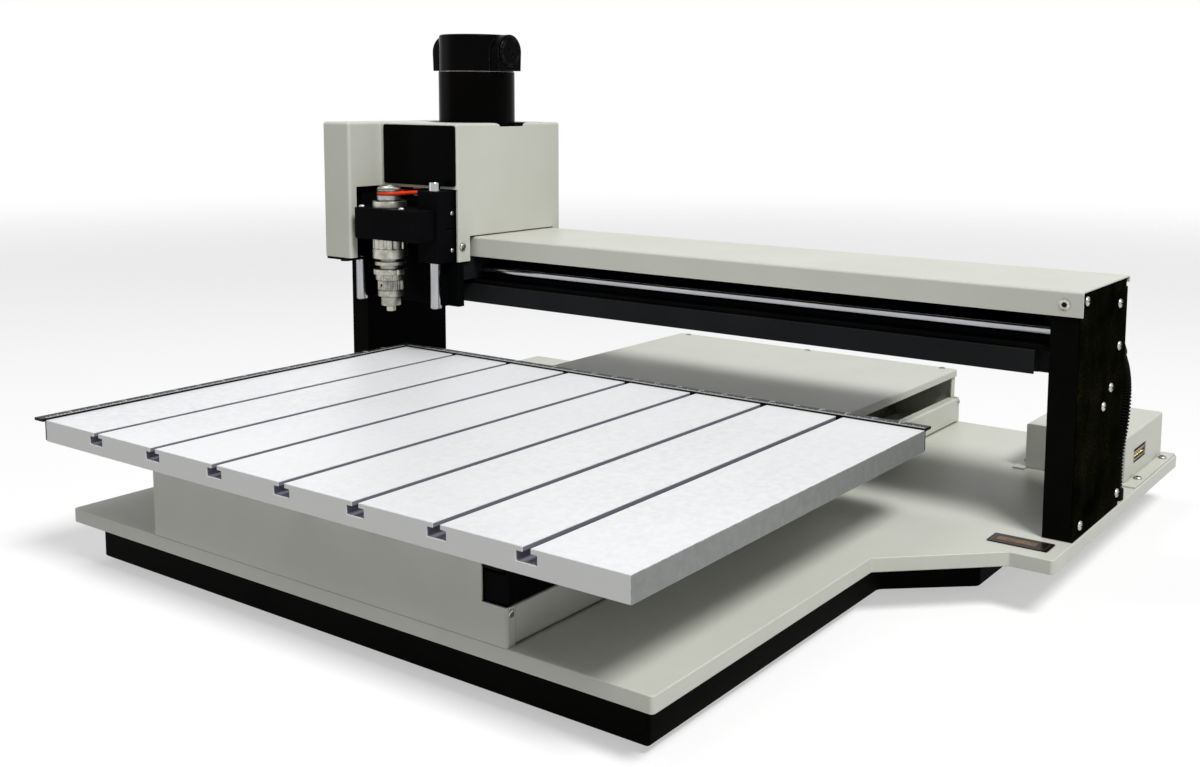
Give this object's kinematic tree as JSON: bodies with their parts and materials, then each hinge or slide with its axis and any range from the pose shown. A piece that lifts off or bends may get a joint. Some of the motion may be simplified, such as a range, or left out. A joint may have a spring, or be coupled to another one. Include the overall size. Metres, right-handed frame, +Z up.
{
  "type": "engraving machine",
  "caption": "Bench engraving machine: T-slotted bed sliding under a fixed bridge, and a head with a belt-driven lifting spindle that travels along the bridge.",
  "frame": {"origin": "on the floor, at the underside of the middle foot, below the middle of the base plate", "axes": "+X along the bridge to the right as the operator sees it, +Y to the rear, +Z up"},
  "size_m": [0.8496, 0.7637, 0.4695],
  "materials": {
    "cream_paint": "satin powder coat",
    "black_paint": "satin",
    "wrinkle_paint": "fine wrinkle",
    "black_anodised": "satin anodised",
    "dark_channel": "satin",
    "milled_aluminium": "milled",
    "bright_alloy": "turned, bright",
    "grey_alloy": "satin",
    "ground_steel": "ground",
    "rail_chrome": "polished",
    "screw_steel": "bright zinc",
    "plug_steel": "tinned",
    "nut_brass": "turned",
    "foot_rubber": "matt",
    "belt_urethane": "smooth",
    "loom_plastic": "ribbed, satin",
    "label_plastic": "printed",
    "scale_black": "black anodised",
    "panel_gloss": "gloss",
    "motor_gloss": "gloss",
    "cap_plastic": "semi-gloss"
  },
  "bodies": {
    "root": {"rubber_feet": "foot_rubber", "base_pan": "black_paint", "base_plate": "cream_paint", "housing_front": "cream_paint", "housing_rear": "cream_paint", "housing_sides": "cream_paint", "housing_cover": "cream_paint", "corner_seal": "foot_rubber", "bed_rails": "ground_steel", "screw_bearings": "grey_alloy", "bed_motor": "black_paint", "bed_timing_belt": "foot_rubber", "column_left": "black_paint", "column_right": "black_paint", "column_skin_left": "wrinkle_paint", "column_skin_right": "wrinkle_paint", "bridge_beam": "black_paint", "bridge_rails": "rail_chrome", "bridge_channel": "dark_channel", "bridge_cover": "cream_paint", "bridge_motor": "black_paint", "connector_box": "cream_paint", "cable_connector": "plug_steel", "cable_loom": "loom_plastic", "loom_glands": "loom_plastic", "label_plate": "label_plastic", "case_screws": "screw_steel"},
    "bed": {"bed_carriage": "black_anodised", "bed_bearing_blocks": "grey_alloy", "bed_nut": "nut_brass", "bed_plate": "milled_aluminium", "scale_strips": "scale_black", "strip_screws": "scale_black"},
    "bed_screw": {"bed_lead_screw": "ground_steel"},
    "bed_drive_pulley": {"bed_motor_pulley": "ground_steel"},
    "bridge_screw": {"bridge_lead_screw": "ground_steel"},
    "head": {"head_plate": "black_anodised", "head_bearing_blocks": "grey_alloy", "head_nut": "nut_brass", "guide_rods": "rail_chrome", "lift_motor": "black_paint", "head_cover": "cream_paint", "name_panel": "panel_gloss", "head_screws": "screw_steel", "pointer_lamp": "black_anodised"},
    "lift_screw": {"lift_lead_screw": "ground_steel"},
    "lift": {"lift_bearing_blocks": "black_anodised", "spindle_clamp": "black_anodised", "lift_frame": "black_anodised", "clamp_screws": "screw_steel", "spindle_quill": "bright_alloy", "drive_belt": "belt_urethane", "motor_housing": "motor_gloss", "motor_cap": "cap_plastic", "brush_caps": "cap_plastic"},
    "spindle": {"spindle_shaft": "ground_steel"},
    "spindle_knob": {"tool_knob": "bright_alloy"},
    "micrometer": {"micrometer_barrel": "bright_alloy"},
    "nose": {"nose_tube": "bright_alloy"},
    "motor_rotor": {"motor_pulley": "bright_alloy"}
  },
  "joints": [
    {"name": "bed_slide", "type": "slide", "parent": "root", "child": "bed", "axis": [0, 1, 0], "range_m": [0, 0.4064]},
    {"name": "bed_screw_spin", "type": "hinge", "parent": "root", "child": "bed_screw", "pos_m": [0, 0, 0.068], "axis": [0, 1, 0], "range_deg": [-11530, 0]},
    {"name": "bed_pulley_spin", "type": "hinge", "parent": "root", "child": "bed_drive_pulley", "pos_m": [0.06, 0.336, 0.038], "axis": [0, 1, 0], "range_deg": [-11530, 0]},
    {"name": "head_slide", "type": "slide", "parent": "root", "child": "head", "axis": [1, 0, 0], "range_m": [0, 0.6095]},
    {"name": "bridge_screw_spin", "type": "hinge", "parent": "root", "child": "bridge_screw", "pos_m": [0, 0.1, 0.2285], "axis": [1, 0, 0], "range_deg": [-17290, 0]},
    {"name": "lift_slide", "type": "slide", "parent": "head", "child": "lift", "axis": [0, 0, -1], "range_m": [0, 0.035]},
    {"name": "lift_screw_spin", "type": "hinge", "parent": "head", "child": "lift_screw", "pos_m": [-0.3615, 0.06, 0.29], "axis": [0, 0, 1], "range_deg": [0, 2525]},
    {"name": "spindle_spin", "type": "hinge", "parent": "lift", "child": "spindle", "pos_m": [-0.30475, -0.0054, 0.296], "axis": [0, 0, 1], "continuous": true},
    {"name": "motor_spin", "type": "hinge", "parent": "lift", "child": "motor_rotor", "pos_m": [-0.27825, 0.1018, 0.3002], "axis": [0, 0, 1], "continuous": true},
    {"name": "knob_turn", "type": "hinge", "parent": "spindle", "child": "spindle_knob", "pos_m": [-0.30475, -0.0054, 0.306], "axis": [0, 0, 1], "range_deg": [0, 720]},
    {"name": "micrometer_turn", "type": "hinge", "parent": "lift", "child": "micrometer", "pos_m": [-0.30475, -0.0054, 0.21], "axis": [0, 0, 1], "range_deg": [0, 720]},
    {"name": "nose_slide", "type": "slide", "parent": "lift", "child": "nose", "axis": [0, 0, -1], "range_m": [0, 0.00128]}
  ],
  "couplings": [
    {"joint": "bed_screw_spin", "follows": "bed_slide", "rad_per_m": -494.74},
    {"joint": "bed_pulley_spin", "follows": "bed_slide", "rad_per_m": -494.74},
    {"joint": "bridge_screw_spin", "follows": "head_slide", "rad_per_m": -494.74},
    {"joint": "lift_screw_spin", "follows": "lift_slide", "rad_per_m": 1256.6},
    {"joint": "motor_spin", "follows": "spindle_spin", "ratio": 0.6264},
    {"joint": "nose_slide", "follows": "micrometer_turn", "m_per_rad": 0.000101}
  ]
}
